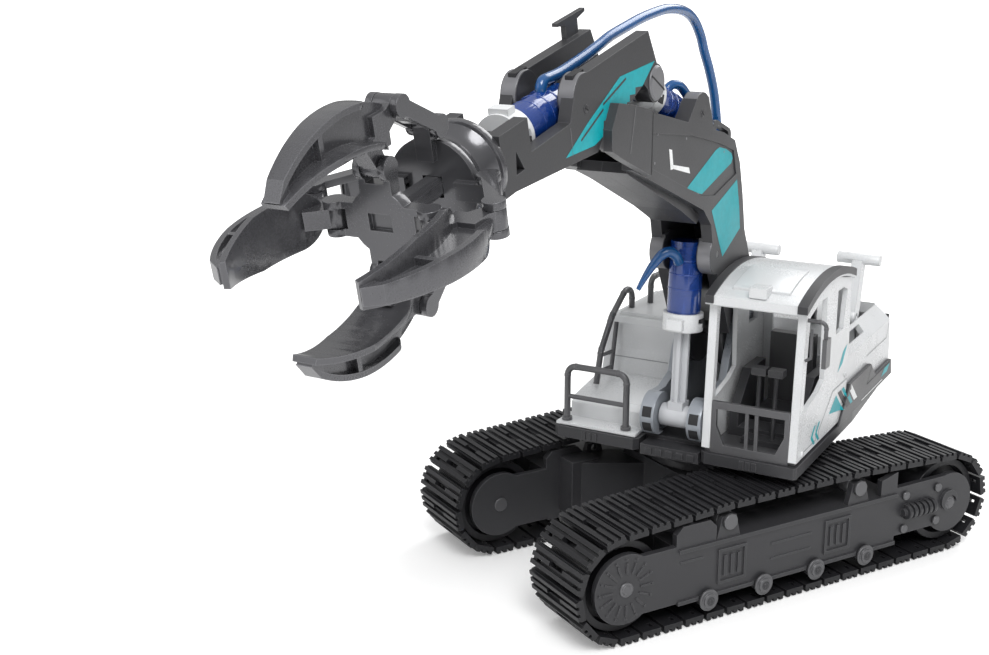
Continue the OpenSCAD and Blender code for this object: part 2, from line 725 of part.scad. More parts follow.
// One boom half: recessed base, cheek, flared tip, lobes and the walls to the middle
module boom_half(sy) {
    color(dark) upper() mirror([0, sy > 0 ? 0 : 1, 0]) difference() {
        union() {
            side(5.6, 9.6) {
                translate([-8, 97]) circle(17);
                polygon([[-23, 105], [-10, 128], [14, 128], [8, 92]]);
            }
            difference() {
                side(plate_in, arm_half_w) boom_cheek();
                across(boom_pivot, 21, 9.6, 20);
            }
            side(tip_in - 0.3, tip_out) {
                polygon([[104, 200.4], [120, 203.6], [132, 205.2], [137, 197], [136.4, 190], [127, 186.2],
                    [104, 177.8]]);
            }
            side(eps, plate_in + 1) {
                polygon([[-22, 110], [-12, 126], [-3, 141], [1, 156], [6, 170], [13, 180], [26, 184.5],
                    [104, 200.3], [104, 197.7], [27, 182], [15, 177.8], [8.6, 169], [3.6, 155], [-0.4, 140],
                    [-9.6, 124.8], [-19.4, 109]]);
                polygon([[110, 179], [60, 158.5], [43, 150.5], [40, 153], [58, 163], [109, 182.5]]);
            }
            for (p = [boom_cyl_top, arm_cyl_rear]) across(p, lobe_r, lobe_in, arm_half_w);
            side(lobe_in, arm_half_w) polygon([[36, 184], [44, 200], [56, 200], [66, 190], [60, 184]]);
            side(lobe_in, arm_half_w) polygon([[16, 134], [24, 143], [34, 143], [30, 128]]);
            side(2.5, 6) difference() {
                stadium([2, 180], [16, 184.6], 3.4);
                stadium([3.6, 180.4], [14, 183.8], 1.9);
            }
        }
        across(boom_pivot, boom_pin_r + pin_gap, 0, 30);
        side(-1, lobe_in) translate([38, 178]) square([42, 30]);
        side(-1, plate_in) translate([67, 178]) square([19, 30]);
        side(-1, tip_in - 0.05) translate(arm_pivot) circle(10);
        for (p = [boom_cyl_top, arm_cyl_rear]) across(p, pin_r + pin_gap, 0, 30);
        across(arm_pivot, arm_pin_r + pin_gap, 0, tip_out - 0.9);
        side(arm_half_w - 0.5, 30) polygon([[33, 160.5], [48, 162.5], [97, 179.5], [99, 192], [60, 187],
            [30, 180.6],
            [14, 176], [10, 166]]);
    }
}

// Boom pins: arm pivot and the pins at the ends of the two cylinders
module boom_pins() {
    color(grey) upper() {
        across(boom_cyl_top, pin_r, -arm_half_w, arm_half_w);
        across(arm_cyl_rear, pin_r, -arm_half_w, arm_half_w);
        for (sy = [0, 1]) mirror([0, sy, 0]) {
            across(arm_pivot, arm_pin_r, plate_in, tip_out - 1);
        }
    }
}

// ---------- cylinders, drawn with their pivot at the origin and X towards the rod ----------

module barrel_shape() {
    color(blue) difference() {
        union() {
            translate([-4.4, 0, 0]) rotate([0, 90, 0]) cylinder(r = barrel_r, h = barrel_len + 4.4);
            translate([4, 0, 5.6]) cylinder(r = 1.2, h = 3);
        }
        translate([3.5, 0, 0]) rotate([0, 90, 0]) cylinder(r = barrel_bore_r, h = barrel_len);
        across([0, 0], pin_r + pin_gap, -10, 10);
    }
}

// Snap-on end cap with its windows
module cap_shape() {
    color(white) translate([barrel_len, 0, 0]) rotate([0, 90, 0]) difference() {
        union() {
            translate([0, 0, -5]) cylinder(r = barrel_r + 1.4, h = 7.4);
            translate([-9.6, -3.4, -3]) cube([3, 6.8, 4.4]);
        }
        translate([0, 0, -6]) cylinder(r = barrel_r + pin_gap, h = 6.05);
        translate([0, 0, -8]) cylinder(r = 3.6, h = 14);
        for (s = [-1, 1]) translate([-2.6, s * 8 - 2, -3]) cube([5.2, 4, 2]);
    }
}

// Piston, cross-ribbed rod and eye; the eye hole leaves room for the linkage to float
module rod_shape(piston_x, eye_x, eye_gap) {
    color(white) difference() {
        union() {
            translate([piston_x - 1, 0, 0]) rotate([0, 90, 0]) cylinder(r = barrel_bore_r - pin_gap, h = 2);
            translate([piston_x, -0.9, -3.3]) cube([eye_x - piston_x, 1.8, 6.6]);
            translate([piston_x, -3.3, -0.9]) cube([eye_x - piston_x, 6.6, 1.8]);
            across([eye_x, 0], pin_r + eye_gap + 2, -6.6, 6.6);
            translate([eye_x - 6.5, -3.3, -3.6]) cube([4, 6.6, 7.2]);
        }
        across([eye_x, 0], pin_r + eye_gap, -10, 10);
    }
}

arm_lobe_at = arm_pivot + [arm_lobe[0] * cos(arm_slope) + arm_lobe[1] * sin(arm_slope),
    -arm_lobe[0] * sin(arm_slope) + arm_lobe[1] * cos(arm_slope)];
boom_cyl_len = norm(boom_cyl_low - boom_cyl_top);
arm_cyl_len = norm(arm_lobe_at - arm_cyl_rear);
module on_boom_cyl() {
    upper() along(boom_cyl_top, boom_cyl_low) children();
}
module on_arm_cyl() {
    upper() along(arm_cyl_rear, arm_lobe_at) children();
}
module on_grapple_cyl() {
    on_arm() translate([grapple_cyl_s, 0, axis_t]) children();
}

// Hoses from the boom and arm cylinders, along the back of the boom
module boom_hoses() {
    color(blue) upper() {
        hose(4.6, [[57, 205.6], [53, 208], [49, 207.6], [44, 204], [27, 189.4], [22, 188.6]], hose_r);
        hose(-9, [[38, 141.5], [47, 143.5], [54, 141.4], [57, 137], [54, 132.6], [48, 132.5]], hose_r);
    }
}

// ---------- arm and grapple ----------

module arm_outline() {
    difference() {
        union() {
            polygon([[-34, 11.4], [-28.4, 24.5], [24, 24.5], [29, 20], [33, 12.6], [58.5, 12.6], [59, 23.2],
                [75.8, 23.2],
                [75.8, 4.4], [69.7, 4.4], [16, -2.8], [8, 4], [-12, 5.4], [-22, 8], [-28, 2]]);
            translate(arm_lobe) circle(6.7);
            translate([0, 0]) circle(8.4);
            translate([grapple_cyl_s, 17.5]) circle(7.5);
        }
        polygon([[63.5, 9], [68.5, 9], [67.5, 16]]);
    }
}

// One arm half: side plate, bottom wall, lobes and the end block
module arm_half(sy) {
    color(dark) on_arm() mirror([0, sy > 0 ? 0 : 1, 0]) difference() {
        union() {
            side(plate_in, arm_half_w) arm_outline();
            side(eps, plate_in + 1) polygon([[69.7, 4.4], [16, -2.8], [15.6, -0.4], [69.7, 6.8]]);
            side(eps, plate_in + 1) polygon([[72, 4.4], [75.8, 4.4], [75.8, 23.2], [72, 23.2]]);
            across(arm_lobe, 6.7, lobe_in, arm_half_w);
            across([grapple_cyl_s, 17.5], 7.5, lobe_in, arm_half_w);
            if (sy < 0) {
                side(11, arm_half_w) polygon([[-24, 24], [-24, 29.4], [-30, 30.4], [-30, 31.6], [-9, 31.6],
                    [-9, 30.4], [-15, 29.4], [-15, 24]]);
            }
        }
        across([0, 0], arm_pin_r + pin_gap, -30, 30);
        across(arm_lobe, pin_r + pin_gap, 0, 30);
        across([grapple_cyl_s, axis_t], pin_r + pin_gap, 0, 30);
        translate([70, 0, axis_t]) rotate([0, 90, 0]) cylinder(r = 5.4, h = 10);
    }
}

// Pins carried by the arm
module arm_pins() {
    color(grey) on_arm() {
        across(arm_lobe, pin_r, -arm_half_w, arm_half_w);
        across([grapple_cyl_s, axis_t], pin_r, -arm_half_w, arm_half_w);
    }
}

// Waisted drum at the end of the arm with four lugs and a square guide hole
module grapple_drum() {
    guide = 6.3;
    color(grey) difference() {
        union() {
            on_arm() translate([drum_s, 0, axis_t]) rotate([0, 90, 0]) rotate_extrude() polygon(concat(
                [[0, 0], [14.6, 0], [14.6, 2.2]],
                [for (a = [0 : 15 : 180]) [13.6 - 2.6 * sin(a), 2.4 + (drum_len - 5) * a / 180]],
                [[drum_r, drum_len - 2.4], [drum_r, drum_len], [0, drum_len]]));
            for (k = [0 : 3]) around_axis(k) side(-lug_half, lug_half) {
                translate([link_s, link_r]) circle(3.2);
                translate([link_s - 3.2, 8]) square([6.4, link_r - 8]);
            }
        }
        on_arm() translate([drum_s - 1, -guide / 2, axis_t - guide / 2]) cube([drum_len + 2, guide, guide]);
        for (k = [0 : 3]) around_axis(k) {
            across([link_s, link_r], peg_r + pin_gap, -9, 9);
            translate([drum_s + drum_len - 1.4, -0.7, 8]) cube([3, 1.4, 4]);
        }
        on_arm() translate([drum_s - 1, 0, axis_t]) rotate([0, 90, 0]) cylinder(r = 9, h = 10);
    }
}

// Sliding spider with its square rod, piston and four forked ears
module spider() {
    color(grey) difference() {
        union() {
            on_arm() translate([spider_s - 2.5, 0, axis_t]) rotate([0, 90, 0]) cylinder(r = 9.4, h = 4);
            on_arm() translate([grapple_cyl_s + 24, -3.05, axis_t - 3.05]) intersection() {
                cube([spider_s - grapple_cyl_s - 26, 6.1, 6.1]);
                translate([0, 3.05, 3.05]) rotate([0, 90, 0]) cylinder(r = 3.5, h = 100);
            }
            on_arm() translate([grapple_cyl_s + 23, 0, axis_t]) rotate([0, 90, 0])
                cylinder(r = barrel_bore_r - pin_gap, h = 2);
            for (k = [0 : 3]) around_axis(k) {
                for (s = [-1, 1]) side(s > 0 ? fork_in : -fork_out, s > 0 ? fork_out : -fork_in) {
                    translate([spider_s, spider_r]) circle(3.3);
                    translate([spider_s - 2.5, 7]) square([4, spider_r - 7]);
                }
                side(-fork_out, fork_out) translate([spider_s - 2.5, 6]) square([4, spider_r - 10]);
                across([spider_s, spider_r], peg_r, -fork_in - 0.5, fork_in + 0.5);
            }
        }
        on_arm() translate([spider_s, -3.6, axis_t - 2.4]) cube([3, 7.2, 4.8]);
    }
}

// Forked link between the drum and a claw
module link(k) {
    color(grey) around_axis(k) {
        for (s = [-1, 1]) side(s > 0 ? fork_in : -fork_out, s > 0 ? fork_out : -fork_in) {
            stadium([link_s, link_r], [claw_s, claw_r], 2.2);
            translate([link_s, link_r]) circle(3.3);
            translate([claw_s, claw_r]) circle(3.2);
        }
        side(-fork_out, fork_out) stadium([link_s + 6.9, link_r + 4.5], [link_s + 9, link_r + 5.9], 1.9);
        across([link_s, link_r], peg_r, -fork_in - 0.5, fork_in + 0.5);
        across([claw_s, claw_r], peg_r, -fork_in - 0.5, fork_in + 0.5);
    }
}

// Side section of a claw between its outer and inner arcs, thinned by a wall on each side
module claw_side(wall) {
    intersection() {
        translate([13, -20.9]) circle(claw_arc_r - wall, $fn = 120);
        difference() {
            translate([-22, -10]) square([90, 50]);
            translate([19.3, -37.5]) circle(claw_band_r + wall, $fn = 120);
        }
        polygon([[-6 + wall, -12], [-6 + wall, 40], [56, 40], [37.4, 13], [41.4 - wall, 6.6], [37.6, 0]]);
    }
}

// Plan of a claw band seen from outside: w0 wide at the root, w1 at the tip, round at the root
module claw_plan(w0, w1) {
    polygon([[7, -w0], [22, -w0 * 0.94], [45, -w1], [45, w1], [22, w0 * 0.94], [7, w0]]);
    translate([7, 0]) circle(w0);
}

// Curved claw: a wide inner band, a narrow outer band, a web between them and two hinge lugs
module claw(k) {
    fork_place = [claw_s - spider_s, claw_r - spider_r];
    rib_half = 3.2;
    buried = 0.4;
    color(grey) around_axis(k) translate([spider_s, 0, spider_r]) difference() {
        union() {
            intersection() {
                side(-claw_w / 2, claw_w / 2) intersection() {
                    claw_side(0);
                    translate([19.3, -37.5]) circle(claw_band_r + claw_wall, $fn = 120);
                }
                translate([0, 0, -20]) linear_extrude(60) claw_plan(claw_w / 2, 2.7);
            }
            intersection() {
                side(-claw_w / 2, claw_w / 2) difference() {
                    claw_side(0);
                    translate([13, -20.9]) circle(claw_arc_r - claw_wall, $fn = 120);
                }
                translate([0, 0, -20]) linear_extrude(60) claw_plan(3.7, 2.2);
            }
            side(-1.2, 1.2) claw_side(buried);
            intersection() {
                side(-rib_half, rib_half) claw_side(buried);
                translate([23, -10, -20]) cube([1.6, 20, 60]);
            }
            intersection() {
                side(-2.4, 2.4) claw_side(buried);
                translate([37, -10, -20]) cube([10, 20, 60]);
            }
            side(-lug_half, lug_half) {
                circle(2.7);
                polygon([[-2.2, 0.4], [1.9, -0.8], [6.3, 6.6], [1, 9]]);
                translate(fork_place) circle(3.1);
                polygon([fork_place + [1, 2.4], [-3, 13.4], [-3.4, 7.2], fork_place + [-1.2, -2.1]]);
                translate([-5, 4.6]) square([6.5, 9.5]);
            }
        }
        across([0, 0], peg_r + pin_gap, -9, 9);
        across(fork_place, peg_r + claw_gap, -9, 9);
    }
}

// Hose from the grapple cylinder over the arm and down to the boom
module grapple_hose() {
    x0 = grapple_cyl_s + 4;
    color(blue) on_arm() hose(0, [[x0, axis_t + 8.7], [x0, 23.6], [x0 - 2, 25.6], [18, 26.6], [-12.7, 28.4],
        [-37, 27], [-54, 26.6], [-68, 23.4], [-80, 15], [-90, 2], [-98, -14], [-103, -30]], hose_r);
}

chassis();
frame(1, true);  // frame_left_outer
frame(1, false);  // frame_left_inner
frame(-1, true);  // frame_right_outer
frame(-1, false);  // frame_right_inner
track(1);  // track_left
track(-1);  // track_right
wheel(1, 1);  // wheel_front_left
wheel(-1, 1);  // wheel_rear_left
wheel(1, -1);  // wheel_front_right
wheel(-1, -1);  // wheel_rear_right
track_rollers();
wheel_axles();
frame_bolts();
deck();
tank_box();
engine_hood();
side_panels();
counterweight();
cab_base();
cab_frame();
cab_roof();
cab_interior();
mirror_part();  // mirror
handrails();
boom_brackets();
upper_pins();
master_barrels();
lever(0);  // boom_lever
lever(1);  // arm_lever
lever(2);  // grapple_lever
plunger(0);  // boom_plunger
plunger(1);  // arm_plunger
plunger(2);  // grapple_plunger
boom_half(1);  // boom_left
boom_half(-1);  // boom_right
boom_pins();
on_boom_cyl() barrel_shape();  // boom_barrel
on_boom_cyl() cap_shape();  // boom_cap
on_boom_cyl() rod_shape(19, boom_cyl_len, open_gap);  // boom_rod
boom_hoses();
arm_half(1);  // arm_left
arm_half(-1);  // arm_right
arm_pins();
on_arm_cyl() barrel_shape();  // arm_barrel
on_arm_cyl() cap_shape();  // arm_cap
on_arm_cyl() rod_shape(7.5, arm_cyl_len, open_gap);  // arm_rod
grapple_drum();
on_grapple_cyl() barrel_shape();  // grapple_barrel
on_grapple_cyl() cap_shape();  // grapple_cap
grapple_hose();
spider();
link(0);  // link_top
link(1);  // link_right
link(2);  // link_bottom
link(3);  // link_left
claw(0);  // claw_top
claw(1);  // claw_right
claw(2);  // claw_bottom
claw(3);  // claw_left
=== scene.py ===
import bpy, bmesh, json, math
from mathutils import Vector, Matrix
from mathutils.bvhtree import BVHTree

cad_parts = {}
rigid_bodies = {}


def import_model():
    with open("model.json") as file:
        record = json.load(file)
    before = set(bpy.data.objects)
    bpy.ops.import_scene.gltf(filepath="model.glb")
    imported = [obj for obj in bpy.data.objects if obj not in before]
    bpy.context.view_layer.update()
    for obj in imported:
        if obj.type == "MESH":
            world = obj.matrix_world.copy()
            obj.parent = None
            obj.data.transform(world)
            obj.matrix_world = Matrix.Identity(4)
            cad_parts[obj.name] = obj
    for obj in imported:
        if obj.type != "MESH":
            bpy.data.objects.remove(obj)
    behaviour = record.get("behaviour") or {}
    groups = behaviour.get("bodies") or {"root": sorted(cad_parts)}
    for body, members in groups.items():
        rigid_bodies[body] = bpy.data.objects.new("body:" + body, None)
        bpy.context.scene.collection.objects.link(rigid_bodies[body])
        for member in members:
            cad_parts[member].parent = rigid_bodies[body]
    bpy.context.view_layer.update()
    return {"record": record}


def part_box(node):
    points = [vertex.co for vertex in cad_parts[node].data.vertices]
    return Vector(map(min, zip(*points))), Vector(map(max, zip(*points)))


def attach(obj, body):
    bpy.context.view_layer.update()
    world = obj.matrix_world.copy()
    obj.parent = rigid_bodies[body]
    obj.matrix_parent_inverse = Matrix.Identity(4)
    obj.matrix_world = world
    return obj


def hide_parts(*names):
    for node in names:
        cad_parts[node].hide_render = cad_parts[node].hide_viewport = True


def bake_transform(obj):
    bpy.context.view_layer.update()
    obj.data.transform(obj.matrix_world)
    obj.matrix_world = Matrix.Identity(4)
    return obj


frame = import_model()
scene = bpy.context.scene


# ---------- materials ----------

class Tree:
    """A small helper that adds and joins shader nodes."""

    def __init__(self, name):
        self.mat = bpy.data.materials.new(name)
        self.mat.use_nodes = True
        self.nodes = self.mat.node_tree.nodes
        self.links = self.mat.node_tree.links
        self.bsdf = self.nodes["Principled BSDF"]
        coord = self.nodes.new("ShaderNodeTexCoord")
        self.where = coord.outputs["Object"]

    def put(self, sock, value):
        if isinstance(value, bpy.types.NodeSocket):
            self.links.new(value, sock)
        else:
            sock.default_value = value

    def noise(self, scale, detail=4.0, rough=0.55, where=None):
        n = self.nodes.new("ShaderNodeTexNoise")
        self.put(n.inputs["Vector"], where or self.where)
        self.put(n.inputs["Scale"], scale)
        self.put(n.inputs["Detail"], detail)
        self.put(n.inputs["Roughness"], rough)
        return n.outputs["Fac"]

    def remap(self, value, a, b, lo, hi):
        n = self.nodes.new("ShaderNodeMapRange")
        for key, v in (("Value", value), ("From Min", a), ("From Max", b), ("To Min", lo), ("To Max", hi)):
            self.put(n.inputs[key], v)
        return n.outputs["Result"]

    def mix(self, fac, a, b):
        n = self.nodes.new("ShaderNodeMix")
        n.data_type = "RGBA"
        self.put(n.inputs[0], fac)
        self.put(n.inputs[6], a)
        self.put(n.inputs[7], b)
        return n.outputs[2]

    def math(self, op, a, b=0.0):
        n = self.nodes.new("ShaderNodeMath")
        n.operation = op
        self.put(n.inputs[0], a)
        self.put(n.inputs[1], b)
        return n.outputs[0]

    def bump(self, height, strength, distance, normal=None):
        n = self.nodes.new("ShaderNodeBump")
        self.put(n.inputs["Height"], height)
        self.put(n.inputs["Strength"], strength)
        self.put(n.inputs["Distance"], distance)
        if normal is not None:
            self.links.new(normal, n.inputs["Normal"])
        return n.outputs["Normal"]


def rgba(c, k=1.0):
    return (c[0] * k, c[1] * k, c[2] * k, 1.0)


def plastic(name, colour, rough, grain=0.35, painted_edge_light=0.1, metal=0.0, coat=0.0, spec=0.5, sub=0.0, through=0.0):
    """Moulded plastic: fine spark-eroded grain, faint flow marks, and a painted highlight along the edges, which
    turns to painted shade when the edge setting is below 0.
    """
    t = Tree(name)
    flow = t.noise(14.0, 3.0, 0.6)
    tone = t.mix(t.remap(flow, 0.35, 0.65, 0.0, 1.0), rgba(colour, 0.93), rgba(colour, 1.06))
    geo = t.nodes.new("ShaderNodeNewGeometry")
    soft = t.nodes.new("ShaderNodeBevel")
    soft.samples = 3
    soft.inputs["Radius"].default_value = 0.00045
    facing = t.nodes.new("ShaderNodeVectorMath")
    facing.operation = "DOT_PRODUCT"
    t.put(facing.inputs[0], soft.outputs["Normal"])
    t.put(facing.inputs[1], geo.outputs["Normal"])
    # painted light on the edges: above 0 the edges are painted paler as a highlight, below 0 they are painted darker
    # as shade
    edge = t.remap(facing.outputs["Value"], 0.995, 0.90, 0.0, abs(painted_edge_light))
    painted_edge_colour = rgba([min(1.0, c * 1.8 + 0.05) for c in colour]) if painted_edge_light > 0 else rgba(colour, 0.45)
    t.put(t.bsdf.inputs["Base Color"], t.mix(edge, tone, painted_edge_colour))
    fine = t.noise(1900.0, 2.0, 0.5)
    t.put(t.bsdf.inputs["Roughness"], t.remap(t.math("ADD", flow, t.math("MULTIPLY", fine, 0.4)), 0.5, 0.9, rough - 0.06, rough + 0.08))
    waves = t.bump(t.noise(55.0, 2.0, 0.5), 0.05, 0.0006)
    t.put(t.bsdf.inputs["Normal"], t.bump(fine, grain, 0.00006, waves))
    t.bsdf.inputs["Metallic"].default_value = metal
    t.bsdf.inputs["Specular IOR Level"].default_value = spec
    t.bsdf.inputs["Coat Weight"].default_value = coat
    t.bsdf.inputs["Coat Roughness"].default_value = 0.12
    if sub:
        t.bsdf.inputs["Subsurface Weight"].default_value = sub
        t.bsdf.inputs["Subsurface Radius"].default_value = (0.002, 0.002, 0.0018)
        t.bsdf.inputs["Subsurface Scale"].default_value = 0.4
    if through:
        t.bsdf.inputs["Transmission Weight"].default_value = through
        t.bsdf.inputs["IOR"].default_value = 1.5
    return t.mat


DARK = plastic("dark_moulded", (0.034, 0.034, 0.037), 0.38, grain=0.35, painted_edge_light=0.6, spec=0.35)
BLACK = plastic("black_moulded", (0.012, 0.012, 0.014), 0.44, grain=0.4, painted_edge_light=0.35, spec=0.4)
WHITE = plastic("white_moulded", (0.63, 0.64, 0.65), 0.28, grain=0.12, painted_edge_light=-0.5, sub=0.08)
GREY = plastic("grey_moulded", (0.10, 0.10, 0.105), 0.33, grain=0.25, painted_edge_light=0.5, metal=0.4)
PALE = plastic("pale_moulded", (0.27, 0.29, 0.32), 0.32, grain=0.2, painted_edge_light=0.4, metal=0.2)
ROD = plastic("rod_grey", (0.47, 0.48, 0.50), 0.3, grain=0.15, painted_edge_light=-0.4)
STEEL = plastic("grapple_grey", (0.085, 0.085, 0.092), 0.25, grain=0.02, painted_edge_light=0.6, metal=0.5, coat=0.4)
BLUE = plastic("blue_clear", (0.010, 0.066, 0.36), 0.08, grain=0.03, painted_edge_light=0.3, through=0.5, coat=0.5)
HOSE = plastic("hose_clear", (0.015, 0.115, 0.34), 0.16, grain=0.05, painted_edge_light=0.0, through=0.4, coat=0.3)
BY_SLOT = {
    "dark_plastic": DARK, "black_plastic": BLACK, "white_plastic": WHITE, "grey_plastic": GREY,
    "pale_plastic": PALE, "blue_clear": BLUE, "hose": HOSE,
}
# the cab interior takes the dark finish in place of its own slot: painted shade for the shaded inside of the cab
BY_NODE = {"cab_interior": DARK, "boom_rod": ROD, "arm_rod": ROD, "grapple_drum": STEEL, "spider": STEEL}
for part in frame["record"]["subparts"]:
    if part["node"].startswith(("link_", "claw_")):
        BY_NODE[part["node"]] = STEEL


def cad(node):
    return next(o for o in bpy.data.objects if o.type == "MESH" and o.name.split(".")[0] == node)


def dress(node, mat, width=0.00035):
    """Gives a CAD node its finish and softly rounded moulded edges."""
    o = cad(node)
    o.data.materials.clear()
    o.data.materials.append(mat)
    weld = o.modifiers.new("weld", "WELD")
    weld.merge_threshold = 2e-6
    flat = o.modifiers.new("flat", "DECIMATE")
    flat.decimate_type = "DISSOLVE"
    flat.angle_limit = math.radians(0.6)
    bev = o.modifiers.new("edges", "BEVEL")
    bev.width = width
    bev.segments = 2
    bev.limit_method = "ANGLE"
    bev.angle_limit = math.radians(32)
    bev.use_clamp_overlap = True
    bev.harden_normals = True
    return o


# ---------- places, in millimetres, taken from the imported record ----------

joints = {j["name"]: j for j in frame["record"]["behaviour"]["joints"]}


def pivot(name):
    return Vector(joints[name]["pos_m"])


def axis(name):
    return Vector(joints[name]["axis"]).normalized()


def basis(origin, x_dir, y_dir):
    """A place whose X and Y point along the given directions."""
    x = x_dir.normalized()
    y = (y_dir - x * y_dir.dot(x)).normalized()
    z = x.cross(y)
    m = Matrix((x, y, z)).transposed().to_4x4()
    m.translation = origin
    return m


LEFT = -axis("boom_lift")
UP = basis(Vector((0, 0, 0)), Vector((LEFT.y, -LEFT.x, 0)), LEFT)
ARM = basis(pivot("arm_lift"), axis("grapple_slide"), LEFT)
GROUND = Matrix.Identity(4)


def on(place, p):
    """A point given in millimetres in a place, as a point in the row frame."""
    return place @ Vector((p[0] / 1000, p[1] / 1000, p[2] / 1000))


# ---------- building blocks ----------

def mesh_object(name, bm, mat, smooth=False):
    me = bpy.data.meshes.new(name)
    bmesh.ops.recalc_face_normals(bm, faces=bm.faces)
    bm.to_mesh(me)
    bm.free()
    if smooth:
        me.shade_smooth()
    me.materials.append(mat)
    o = bpy.data.objects.new(name, me)
    scene.collection.objects.link(o)
    return o


def bevel(o, width, segments=2, angle=30):
    b = o.modifiers.new("edges", "BEVEL")
    b.width = width
    b.segments = segments
    b.limit_method = "ANGLE"
    b.angle_limit = math.radians(angle)
    b.harden_normals = True
    o.data.shade_smooth()
    return o


def lathe(name, place, centre, across, profile, mat, body, steps=40):
    """Turns a profile of (radius, height) in millimetres about an axis through centre."""
    z = (place.to_3x3() @ Vector(across)).normalized()
    x = z.orthogonal().normalized()
    y = z.cross(x)
    c = on(place, centre)
    bm = bmesh.new()
    rings = []
    for r, h in profile:
        if r < 1e-6:
            rings.append([bm.verts.new(c + z * h / 1000)])
        else:
            rings.append([bm.verts.new(c + z * h / 1000 + (x * math.cos(a) + y * math.sin(a)) * r / 1000)
                          for a in (2 * math.pi * k / steps for k in range(steps))])
    for a, b in zip(rings, rings[1:]):
        for k in range(steps):
            quad = [a[k % len(a)], a[(k + 1) % len(a)], b[(k + 1) % len(b)], b[k % len(b)]]
            quad = [v for i, v in enumerate(quad) if v not in quad[:i]]
            if len(quad) > 2:
                bm.faces.new(quad)
    o = mesh_object(name, bm, mat)
    bevel(o, 0.0001, 2, 28)
    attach(o, body)
    return o


def plate(name, place, face, outline, low, high, mat, body, edge=0.25):
    """A plate with a flat outline: face is the pair of axes it is drawn in, low and high its place on the third."""
    third = ({0, 1, 2} - set(face)).pop()

    def at(p, h):
        v = [0.0, 0.0, 0.0]
        v[face[0]], v[face[1]], v[third] = p[0], p[1], h
        return on(place, v)

    bm = bmesh.new()
    a = [bm.verts.new(at(p, low)) for p in outline]
    b = [bm.verts.new(at(p, high)) for p in outline]
    bm.faces.new(a)
    bm.faces.new(b[::-1])
    for k in range(len(a)):
        bm.faces.new([a[k], b[k], b[(k + 1) % len(a)], a[(k + 1) % len(a)]])
    bmesh.ops.triangulate(bm, faces=[f for f in bm.faces if len(f.verts) > 4])
    o = mesh_object(name, bm, mat)
    bevel(o, edge / 1000, 2, 25)
    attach(o, body)
    return o


def smooth_path(points, steps=14):
    """A soft curve through points."""
    p = [points[0] * 2 - points[1]] + list(points) + [points[-1] * 2 - points[-2]]
    out = []
    for i in range(1, len(p) - 2):
        for k in range(steps):
            t = k / steps
            a, b, c, d = p[i - 1], p[i], p[i + 1], p[i + 2]
            out.append(0.5 * ((2 * b) + (c - a) * t + (2 * a - 5 * b + 4 * c - d) * t * t + (3 * b - a - 3 * c + d) * t ** 3))
    out.append(p[-2])
    return out


def sweep(name, path, radii, mat, sides=18):
    """A round tube along a path; radii is one number or one per point, in metres."""
    if not isinstance(radii, (list, tuple)):
        radii = [radii] * len(path)
    bm = bmesh.new()
    up_dir = None
    rings = []
    for i, p in enumerate(path):
        d = (path[min(i + 1, len(path) - 1)] - path[max(i - 1, 0)]).normalized()
        if up_dir is None:
            up_dir = d.orthogonal().normalized()
        up_dir = (up_dir - d * up_dir.dot(d)).normalized()
        s = d.cross(up_dir)
        rings.append([bm.verts.new(p + (up_dir * math.cos(a) + s * math.sin(a)) * radii[i])
                      for a in (2 * math.pi * k / sides for k in range(sides))])
    for a, b in zip(rings, rings[1:]):
        for k in range(sides):
            bm.faces.new([a[k], a[(k + 1) % sides], b[(k + 1) % sides], b[k]])
    bm.faces.new(rings[0][::-1])
    bm.faces.new(rings[-1])
    return mesh_object(name, bm, mat, smooth=True)


trees = {}


def surface(node):
    if node not in trees:
        o = cad(node)
        trees[node] = BVHTree.FromPolygons([o.matrix_world @ v.co for v in o.data.vertices],
                                           [tuple(f.vertices) for f in o.data.polygons])
    return trees[node]


def sticker(name, nodes, place, face, sign, outline, body, mat, cell=2.2, lift=0.00007, reach=90, jump=0.0011):
    """A thin film laid on CAD surfaces: its outline is drawn in the face axes and dropped on from outside."""
    third = ({0, 1, 2} - set(face)).pop()
    fall = [0.0, 0.0, 0.0]
    fall[third] = -sign
    fall = (place.to_3x3() @ Vector(fall)).normalized()
    bm = bmesh.new()
    bm.faces.new([bm.verts.new((p[0], p[1], 0)) for p in outline])
    for k, n in ((0, (1, 0, 0)), (1, (0, 1, 0))):
        vals = [p[k] for p in outline]
        step = min(vals) + cell
        while step < max(vals):
            c = [0, 0, 0]
            c[k] = step
            bmesh.ops.bisect_plane(bm, geom=list(bm.verts) + list(bm.edges) + list(bm.faces), plane_co=c, plane_no=n)
            step += cell
    lost = []
    for v in bm.verts:
        start = [0.0, 0.0, 0.0]
        start[face[0]], start[face[1]], start[third] = v.co.x, v.co.y, sign * reach
        start = on(place, start)
        best = None
        for node in nodes:
            hit, normal, index, distance = surface(node).ray_cast(start, fall, 0.3)
            if hit is not None and (best is None or distance < best[1]):
                best = (hit, distance)
        if best is None:
            lost.append(v)
            v.tag = True
        else:
            v.co = best[0] - fall * lift
    bmesh.ops.delete(bm, geom=lost, context="VERTS")
    steep = [f for f in bm.faces if max((v.co - f.verts[0].co).dot(fall) for v in f.verts)
             - min((v.co - f.verts[0].co).dot(fall) for v in f.verts) > jump]
    bmesh.ops.delete(bm, geom=steep, context="FACES")
    if not bm.faces:
        bm.free()
        return None
    o = mesh_object(name, bm, mat)
    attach(o, body)
    return o


